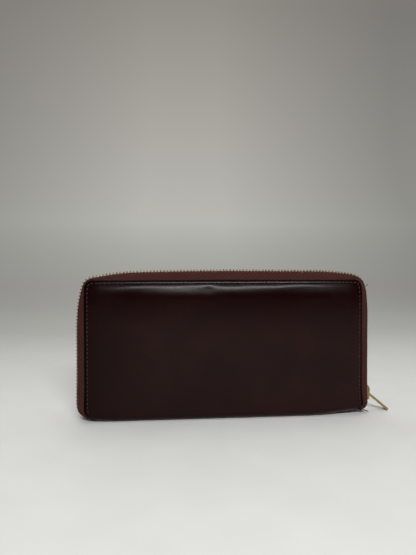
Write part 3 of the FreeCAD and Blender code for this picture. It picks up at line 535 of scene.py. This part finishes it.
def tape(name, side, sign):
    profs = np.array([tape_profile(s) for s in EDGE])                 # samples, points, 2
    n, m = profs.shape[:2]
    P = np.zeros((m, n, 3)); uv = np.zeros((m, n, 2))
    t = np.concatenate([[0], np.cumsum(np.linalg.norm(np.diff(profs[n // 2], axis=0), axis=1))])
    turn = np.abs(np.gradient(np.unwrap(np.arctan2(EDGE[:, 3], EDGE[:, 2])))) / np.maximum(np.gradient(LEN), 1e-3)
    turn = np.convolve(turn / turn.max(), np.ones(15) / 15, "same")
    for k, s in enumerate(EDGE):
        for i in range(m):
            u, y = profs[k, i]
            wob = math.exp(-((t[i] - 6.5) / 2.8) ** 2)
            fold = (0.07 * math.sin(LEN[k] / 3.1 + 0.7 * side) + 0.05 * math.sin(LEN[k] / 1.37 + side)) * wob
            fold += 0.26 * turn[k] * math.sin(2 * math.pi * LEN[k] / 3.3) * wob
            u2 = u + fold * 0.75; y2 = y + fold * 0.5
            px, pz = s[0] + u2 * s[2], s[1] + u2 * s[3]
            P[i, k] = (px, side * y2, pz + float(worn(px, pz)) * (1 - float(smooth(u / 4.0)))); uv[i, k] = (LEN[k], t[i])
    return sheet(name, P, 0.55, [M_TAPE, M_TAPE, M_TAPE], uv, sign, True)


ob = tape("rear_tape_cloth", 1, -1); place(ob, "rear_cover", "zip_tape", "rear_zip_tape")
ob = tape("front_tape_cloth", -1, 1)
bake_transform(ob)
place(ob, None, "zip_tape", "front_zip_tape", "front_zip_tape_ends")


# ------------------------------------------------------------------ zip teeth
def tooth(bag, origin, t, n, y_sign, shift, head=0.45, tall=1.0):
    """Clamped legs, a waist and a cupped head; sections along Y."""
    st = [(-2.45, 0.62, 0.36), (-2.25, 0.92, 0.47), (-1.7, 1.0, 0.50), (-1.0, 0.96, 0.48), (-0.62, 0.70, 0.40), (-0.25, 0.64, 0.36),
          (0.0, 0.66, 0.43), (head - 0.18, 0.62, 0.42), (head, 0.38, 0.26)]
    V, F = [], []
    for y, hh, ht in st:
        yy = y_sign * (y - shift)
        c = 0.32
        for a, b in ((1, 1 - c), (1 - c, 1), (-(1 - c), 1), (-1, 1 - c), (-1, -(1 - c)), (-(1 - c), -1), (1 - c, -1), (1, -(1 - c))):
            up = a * hh * (tall if a > 0 and y < -0.5 else 1.0)
            V.append(np.array(origin) + np.array([t[0] * b * ht + n[0] * up, yy, t[2] * b * ht + n[2] * up]))
    for k in range(len(st) - 1):
        for j in range(8): F.append((k * 8 + j, k * 8 + (j + 1) % 8, (k + 1) * 8 + (j + 1) % 8, (k + 1) * 8 + j))
    F.append(tuple(range(8))); F.append(tuple(range((len(st) - 1) * 8, len(st) * 8)))
    bag.add(V, F)


front, rear = Bag(), Bag()
for k in range(int((LEN[-1] - 8.8) / (PITCH / 2)) + 1):
    p, t, n = chain_at(5.2 + k * PITCH / 2)
    s = parted(p[0], p[1])
    tooth(front if k % 2 else rear, (p[0], 0, p[1]), (t[0], 0, t[1]), (n[0], 0, n[1]), 1 if k % 2 else -1, s, 0.45,
          (1.15 if p[0] > 90 and p[1] < 74 else 1.72) if k % 2 else 0.70)
ob = rear.build("rear_zip_row", [M_TEETH]); place(ob, "rear_cover", "brass", "rear_zip_teeth")
ob = front.build("front_zip_row", [M_TEETH])
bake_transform(ob)
place(ob, None, "brass", "front_zip_teeth", "front_zip_teeth_ends")


# ------------------------------------------------------------------ hard brass pieces, with softened edges
def softened(node, name, material, width_mm, body):
    src = NODES[node]
    me = src.data.copy(); ob = bpy.data.objects.new(name, me); bpy.context.scene.collection.objects.link(ob)
    me.materials.clear(); me.materials.append(material)
    bm = bmesh.new(); bm.from_mesh(me)
    bmesh.ops.remove_doubles(bm, verts=bm.verts, dist=1e-6)
    bmesh.ops.dissolve_limit(bm, angle_limit=math.radians(1.5), verts=bm.verts, edges=bm.edges)
    bm.to_mesh(me); bm.free()
    mod = ob.modifiers.new("edge", "BEVEL"); mod.width = width_mm * 0.001; mod.segments = 3; mod.limit_method = "ANGLE"; mod.angle_limit = math.radians(35)
    mod.use_clamp_overlap = True
    dg = bpy.context.evaluated_depsgraph_get()
    new = bpy.data.meshes.new_from_object(ob.evaluated_get(dg)); ob.modifiers.clear(); ob.data = new
    bm = bmesh.new(); bm.from_mesh(new)
    bmesh.ops.triangulate(bm, faces=[f for f in bm.faces if len(f.verts) > 4]); bm.to_mesh(new); bm.free()
    co = np.empty(len(new.vertices) * 3); new.vertices.foreach_get("co", co)
    new.vertices.foreach_set("co", (tucked(co.reshape(-1, 3) * 1000) * 0.001).ravel()); new.update()
    new.polygons.foreach_set("use_smooth", [True] * len(new.polygons)); new.set_sharp_from_angle(angle=math.radians(40))
    return place(ob, body, "brass", node)


for node, name, wdt, body in (("zip_slider_body", "slider_shell", 0.16, "zip_slider"), ("zip_slider_crown", "slider_crown_loop", 0.2, "zip_slider"),
                              ("zip_pull_tab", "slider_pull", 0.22, "zip_pull"), ("coin_slider_body", "coin_slider_shell", 0.16, "coin_slider"),
                              ("coin_slider_crown", "coin_slider_crown_loop", 0.2, "coin_slider"), ("coin_pull_tab", "coin_slider_pull", 0.22, "coin_pull"),
                              ("zip_top_stops", "zip_top_stop_clips", 0.12, "rear_cover"), ("zip_bottom_stop", "zip_bottom_stop_clip", 0.12, "rear_cover"),
                              ("coin_zip_stops", "coin_zip_stop_clips", 0.12, "coin_pocket")):
    softened(node, name, M_BRASS, wdt, body)
for node in ("front_stiffener_board", "rear_stiffener_board"):
    NODES[node].data.materials.clear(); NODES[node].data.materials.append(M_BOARD)


# ------------------------------------------------------------------ stitching
def stitch_path(inset):
    w, h, rb, rt = HW, TOP, RB - inset, RT - inset
    pts = [(w - RB + rb * math.cos(math.radians(a)), RB + rb * math.sin(math.radians(a))) for a in np.linspace(-20, 0, 8)]
    pts += [(w - inset, RB + 0.01), (w - inset, h - RT)]
    pts += [(w - RT + rt * math.cos(math.radians(a)), h - RT + rt * math.sin(math.radians(a))) for a in np.linspace(7.5, 90, 12)]
    pts = np.array(pts)
    return np.concatenate([pts, pts[::-1] * [-1, 1]])


def run_stitches(name, side, body, node):
    path = stitch_path(1.9)
    cum = np.concatenate([[0], np.cumsum(np.linalg.norm(np.diff(path, axis=0), axis=1))])
    n = int(cum[-1] / 2.75); bag = Bag()
    for k in range(n):
        c = (k + 0.5) * cum[-1] / n
        L = 1.68 + 0.10 * RNG.standard_normal()
        tilt = 0.10 + 0.04 * RNG.standard_normal()
        pts, rad = [], []
        for q in np.linspace(-1, 1, 9):
            s = c + q * L / 2
            p = np.array([np.interp(s, cum, path[:, 0]), np.interp(s, cum, path[:, 1])])
            a = np.array([np.interp(s + 0.3, cum, path[:, 0]), np.interp(s + 0.3, cum, path[:, 1])]) - p
            nrm = np.array([a[1], -a[0]]) / max(np.linalg.norm(a), 1e-9)
            p = p + nrm * tilt * q
            lift = 0.22 - 0.60 * abs(q) ** 3.2
            pts.append((p[0], side * (float(leather_depth(p[0], p[1], side)) + lift), p[1] + float(worn(p[0], p[1])))); rad.append(0.31 * (1 - 0.25 * abs(q) ** 3))
        bag.add(*tube(pts, rad, 8))
    place(bag.build(name, [M_THREAD]), body, "stitch_thread", node)


run_stitches("front_stitches", -1, "front_cover", "front_cover_stitching")
run_stitches("rear_stitches", 1, "rear_cover", "rear_cover_stitching")

# loose thread at the upper right corner, and the frayed tape tails at the lower right
bag = Bag()
for a0, reach, r in ((0.0, 3.4, 0.13), (0.5, 2.6, 0.10), (-0.4, 2.2, 0.10)):
    pts = []
    for q in np.linspace(0, 1, 12):
        pts.append((96.2 + 2.6 * q + 0.5 * math.sin(3 * q + a0), -5.6 - 0.5 * q, 87.6 + reach * q * q + 0.5 * math.sin(4 * q + a0)))
    bag.add(*tube(pts, [r * (1 - 0.5 * q) for q in np.linspace(0, 1, 12)], 6))
place(bag.build("corner_loose_threads", [M_THREAD]), "front_cover", "stitch_thread")
bag = Bag()
for dy, dx, dz, r in ((-6.2, 7.6, -2.0, 0.42), (-5.7, 4.6, -2.4, 0.22), (-6.8, 3.0, -2.2, 0.2), (-5.3, 6.0, -1.5, 0.16), (5.9, 4.4, -2.2, 0.3)):
    pts = []
    for q in np.linspace(0, 1, 12):
        pts.append((91.6 + dx * q + 0.35 * math.sin(5 * q + dx), dy - 0.5 * q * q, 3.6 + dz * q + 0.35 * math.sin(4 * q + dy)))
    bag.add(*tube(pts, [r * (1 - 0.35 * q * q) for q in np.linspace(0, 1, 12)], 6))
place(bag.build("tape_end_tails", [M_THREAD]), "rear_cover", "zip_tape")

# ------------------------------------------------------------------ card slot layers
LAY = 2.85


def tier(name, side, k, top, body, node):
    off = LAY + (2 - k) * 0.75
    xs = np.concatenate([np.linspace(-90, -1.6, 60), np.linspace(-1.2, 1.2, 7), np.linspace(1.6, 90, 60)])
    zs = np.concatenate([top - np.arange(0, 4.2, 0.35), np.linspace(top - 4.8, 9, 24)])
    X, Z = np.meshgrid(xs, zs)
    r = 2.5
    Xs = X * (1 - 0.0 * Z)
    sag = 0.5 * np.exp(-((np.abs(X) - 45) / 16) ** 2) * np.exp(-((Z - top) / 3.0) ** 2)      # thumb dip in each slot's edge
    hem = 0.10 * (Z > top - 3.2) - 0.10 * np.exp(-((Z - (top - 3.2)) / 0.35) ** 2)
    seam = -0.16 * np.exp(-(X / 0.55) ** 2)
    Y = side * (face_depth(Xs, Z) - off - 0.62 * 1 - hem * 0.5 - seam * 0)
    P = np.stack([Xs, Y, Z - sag], 2)
    P[:, :, 1] += side * (0.12 * np.exp(-(X / 0.55) ** 2))
    uv = np.stack([X, Z], 2)
    ob = sheet(name, P, 0.58, [M_CARD, M_CARD, M_EDGE], uv, side)
    return place(ob, body, "card_leather", node)


for side, cover in ((-1, "front"), (1, "rear")):
    for k, top in enumerate((52.0, 66.0, 80.0)):
        tier("%s_card_slot_%d" % (cover, k + 1), side, k, top, cover + "_cover", "%s_card_tier_%d" % (cover, k + 1))

# ------------------------------------------------------------------ coin pocket
for side, cover in ((-1, "front"), (1, "rear")):
    line = np.array([(2.3, 8.0), (2.3, 20), (2.3, 35), (2.3, 50), (2.3, 60), (2.3, 65.4), (2.45, 66.6), (5.45, 78.2), (5.58, 79.2), (5.45, 80.6)])
    cum = np.concatenate([[0], np.cumsum(np.linalg.norm(np.diff(line, axis=0), axis=1))])
    s = np.concatenate([np.linspace(0, cum[4], 30), np.linspace(cum[4] + 0.7, cum[-1], 34)])
    yy, zz = np.interp(s, cum, line[:, 0]), np.interp(s, cum, line[:, 1])
    wdt = 84.5 - 17.5 * smooth((zz - 58) / 7.5)
    u = np.linspace(-1, 1, 120)
    X = wdt[:, None] * u[None, :]
    soft = 0.10 * np.sin(X / 9.0 + 1.3 * side) * np.sin(zz[:, None] / 9.0) * smooth((zz[:, None] - 8) / 10)
    P = np.stack([X, side * (yy[:, None] + soft), np.broadcast_to(zz[:, None], X.shape)], 2)
    ob = sheet("coin_pocket_%s_side" % cover, P, 0.7, [M_CARD, M_LINING, M_EDGE], np.stack([X, P[:, :, 2]], 2), -side, True)
    place(ob, "coin_pocket", "card_leather", "coin_pocket_%s_wall" % cover)
    xs = np.linspace(-65.5, 65.5, 150)
    e = 1.3 + 1.3 * smooth((xs - 51.4) / 6.0)
    T = np.linspace(0, 1, 12)
    Y = e[None, :] + (5.05 - e[None, :]) * T[:, None]
    P = np.stack([np.broadcast_to(xs, Y.shape), side * Y, 79.9 + 0.05 * np.sin(xs / 3.0)[None, :] * np.sin(T * 3)[:, None]], 2)
    ob = sheet("coin_tape_%s" % cover, P, 0.5, [M_TAPE, M_TAPE, M_TAPE], P[:, :, :2].copy(), side, True)
    place(ob, "coin_pocket", "zip_tape", "coin_zip_%s_tape" % cover)
u = np.array([(-1.65, 64.0), (-1.65, 40), (-1.65, 9.4), (-1.2, 8.2), (0, 7.9), (1.2, 8.2), (1.65, 9.4), (1.65, 40), (1.65, 64.0)])
cum = np.concatenate([[0], np.cumsum(np.linalg.norm(np.diff(u, axis=0), axis=1))]); s = np.linspace(0, cum[-1], 70)
xs = np.linspace(-80, 80, 60)
P = np.stack([np.broadcast_to(xs, (70, 60)), np.broadcast_to(np.interp(s, cum, u[:, 0])[:, None], (70, 60)), np.broadcast_to(np.interp(s, cum, u[:, 1])[:, None], (70, 60))], 2)
ob = sheet("coin_bag_lining", P, 0.3, [M_LINING] * 3, np.stack([P[:, :, 0], np.broadcast_to(s[:, None], (70, 60))], 2), 1, True)
place(ob, "coin_pocket", "lining", "coin_pocket_lining")
rows = (Bag(), Bag())
for k in range(int(124 / (PITCH / 2)) + 1):
    x = -62 + k * PITCH / 2
    tooth(rows[k % 2], (x, 0, 79.9), (1, 0, 0), (0, 0, 1), 1 if k % 2 else -1, 1.3 * float(smooth((x - 51.4) / 6.0)))
place(rows[0].build("coin_row_rear", [M_TEETH]), "coin_pocket", "brass", "coin_zip_rear_teeth")
place(rows[1].build("coin_row_front", [M_TEETH]), "coin_pocket", "brass", "coin_zip_front_teeth")

# ------------------------------------------------------------------ pleated gussets
for sign, name in ((1, "right"), (-1, "left")):
    zs = np.linspace(8, 82, 48)
    prof = np.array([(89.0, -5.2, 0), (81, -4.85, 1), (0, -4.5, 2), (-0.25, -4.25, 2), (0, -4.0, 2), (80, -3.7, 1), (88.0, -3.3, 0), (88.4, -2.9, 0), (88.0, -2.5, 0),
                     (86.0, -1.5, 0), (85.7, -1.2, 0), (86.0, -0.9, 0), (88.0, -0.25, 0), (88.3, 0, 0)])
    full = np.concatenate([prof, prof[:-1][::-1] * [1, -1, 1]])
    P = np.zeros((len(zs), len(full) * 4 - 3, 3))
    for r, z in enumerate(zs):
        fold = 84.5 - 14.0 * (z - 8) / 74.0
        xy = np.array([((fold + x) if tag == 2 else ((fold + 89) / 2 if tag == 1 else x), y) for x, y, tag in full])
        q = np.linspace(0, len(full) - 1, len(full) * 4 - 3)
        P[r, :, 0] = sign * np.interp(q, range(len(full)), xy[:, 0]); P[r, :, 1] = np.interp(q, range(len(full)), xy[:, 1]); P[r, :, 2] = z
    cum = np.concatenate([[0], np.cumsum(np.linalg.norm(np.diff(P[24], axis=0), axis=1))])
    uv = np.stack([np.broadcast_to(cum, P.shape[:2]), P[:, :, 2]], 2)
    ob = sheet(name + "_pleated_gusset", P, 0.22, [M_LINING] * 3, uv, 1, True)
    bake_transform(ob)
    place(ob, None, "lining", name + "_gusset")

# ------------------------------------------------------------------ stage, lights and camera
def stage_mat():
    """Matt floor that turns, behind the wallet, into a softly graded backdrop that glows: painted light, graded with
    depth and height, with painted shade towards the sides.
    """
    k = Mat("pale_floor")
    sep = k.n.new("ShaderNodeSeparateXYZ"); k.link(k.tc.outputs["Object"], sep.inputs[0])

    def span(v, lo, hi):
        f = k.n.new("ShaderNodeMapRange"); f.inputs["From Min"].default_value = lo; f.inputs["From Max"].default_value = hi
        k.link(v, f.inputs[0]); return f.outputs[0]

    depth, height = span(sep.outputs[1], 0.0, 1.6), span(sep.outputs[2], 0.0, 1.6)
    # painted light: the backdrop's emission is graded with depth along the floor and with height up the wall
    far = k.ramp(depth, [(0.0, (0.53, 0.53, 0.505)), (0.25, (0.41, 0.41, 0.385)), (0.62, (0.345, 0.34, 0.32)), (0.92, (0.375, 0.375, 0.35))])
    wall = k.ramp(height, [(0.0, (0.405, 0.405, 0.38)), (0.18, (0.475, 0.475, 0.44)), (0.42, (0.415, 0.40, 0.37)), (0.80, (0.285, 0.268, 0.245))])
    painted_backdrop_light = k.mix(span(sep.outputs[2], 0.02, 0.30), far, wall)
    side = k.n.new("ShaderNodeMath"); side.operation = "ABSOLUTE"; k.link(sep.outputs[0], side.inputs[0])
    # painted shade: the emission is darkened towards the sides
    painted_backdrop_light = k.mix(k.math("MULTIPLY", span(side.outputs[0], 0.15, 0.95), 0.58), painted_backdrop_light, (0.14, 0.14, 0.132))
    em = k.n.new("ShaderNodeEmission"); k.link(painted_backdrop_light, em.inputs[0])
    n = k.noise(30, 3)
    k.set(Base_Color=k.ramp(n, [(0.3, (0.66, 0.66, 0.64)), (0.7, (0.69, 0.69, 0.67))]), Roughness=k.rng(n, 0.5, 0.62), Normal=k.bump(k.noise(900, 2), 0.01, 0.2), Specular_IOR_Level=0.3)
    mx = k.n.new("ShaderNodeMixShader"); f = span(sep.outputs[1], 0.03, 0.42); f.node.interpolation_type = "SMOOTHSTEP"
    k.link(f, mx.inputs[0]); k.link(k.p.outputs[0], mx.inputs[1]); k.link(em.outputs[0], mx.inputs[2]); k.link(mx.outputs[0], k.out.inputs[0])
    return k.m


M_STAGE = stage_mat()
prof = [(-0.85, 0.0), (0.7, 0.0)] + [(0.7 + 0.8 * math.sin(a), 0.8 - 0.8 * math.cos(a)) for a in np.linspace(0.08, math.pi / 2, 20)] + [(1.5, 5.0)]
V = [(x, y, z) for y, z in prof for x in (-6.0, 6.0)]
me = bpy.data.meshes.new("studio_floor")
me.from_pydata(V, [], [(2 * k, 2 * k + 1, 2 * k + 3, 2 * k + 2) for k in range(len(prof) - 1)])
me.materials.append(M_STAGE); me.polygons.foreach_set("use_smooth", [True] * len(me.polygons))
floor = bpy.data.objects.new("studio_floor", me); bpy.context.scene.collection.objects.link(floor)


def area(name, loc, target, size, size_y, power, color=(1, 1, 1)):
    d = bpy.data.lights.new(name, "AREA"); d.shape = "RECTANGLE"; d.size = size; d.size_y = size_y; d.energy = power; d.color = color
    o = bpy.data.objects.new(name, d); bpy.context.scene.collection.objects.link(o)
    o.location = loc; o.rotation_euler = (Vector(target) - Vector(loc)).to_track_quat("-Z", "Y").to_euler()
    return o


area("front_top_softbox", (0.12, -0.90, 0.66), (0, 0, 0.08), 0.62, 0.17, 11.5)
area("overhead_softbox", (0.0, 0.05, 1.2), (0, 0.02, 0), 1.4, 0.9, 6.2)
area("rear_softbox", (-0.25, 0.65, 0.85), (0, 0, 0.05), 0.8, 0.35, 1.1)
area("left_fill", (-1.1, -0.45, 0.45), (0, 0, 0.05), 0.6, 0.6, 0.35)
world = bpy.data.worlds.new("studio"); world.use_nodes = True
wt = world.node_tree; bgn = wt.nodes["Background"]
bgn.inputs[0].default_value = (0.74, 0.73, 0.71, 1)
wc = wt.nodes.new("ShaderNodeTexCoord"); wx = wt.nodes.new("ShaderNodeSeparateXYZ"); wr = wt.nodes.new("ShaderNodeMapRange")
wt.links.new(wc.outputs["Generated"], wx.inputs[0]); wt.links.new(wx.outputs[1], wr.inputs[0])
for key, v in (("From Min", -0.2), ("From Max", 0.8), ("To Min", 0.03), ("To Max", 0.36)):      # the room behind the camera is dark
    wr.inputs[key].default_value = v
lp = wt.nodes.new("ShaderNodeLightPath"); wm = wt.nodes.new("ShaderNodeMix")
wt.links.new(lp.outputs["Is Camera Ray"], wm.inputs[0]); wt.links.new(wr.outputs[0], wm.inputs[2]); wm.inputs[3].default_value = 0.44
wt.links.new(wm.outputs[0], bgn.inputs[1])
bpy.context.scene.world = world
bpy.context.scene.view_settings.view_transform = "Standard"

cam = bpy.data.cameras.new("camera"); cam.sensor_fit = "HORIZONTAL"; cam.sensor_width = 36.0
F_PX = 400.0
cam.lens = 36.0 * F_PX / 416.0; cam.clip_start = 0.01
co = bpy.data.objects.new("camera", cam); bpy.context.scene.collection.objects.link(co)
yaw, pitch, roll = (math.radians(a) for a in (4.438, -0.84, -0.079))
fwd = Vector((math.sin(yaw) * math.cos(pitch), math.cos(yaw) * math.cos(pitch), math.sin(pitch)))
right = Vector((math.cos(yaw), -math.sin(yaw), 0)); up = right.cross(fwd)
r2, u2 = right * math.cos(roll) + up * math.sin(roll), -right * math.sin(roll) + up * math.cos(roll)
co.matrix_world = Matrix(((r2.x, u2.x, -fwd.x, -0.03305), (r2.y, u2.y, -fwd.y, -0.27375), (r2.z, u2.z, -fwd.z, 0.09849), (0, 0, 0, 1)))
bpy.context.scene.camera = co
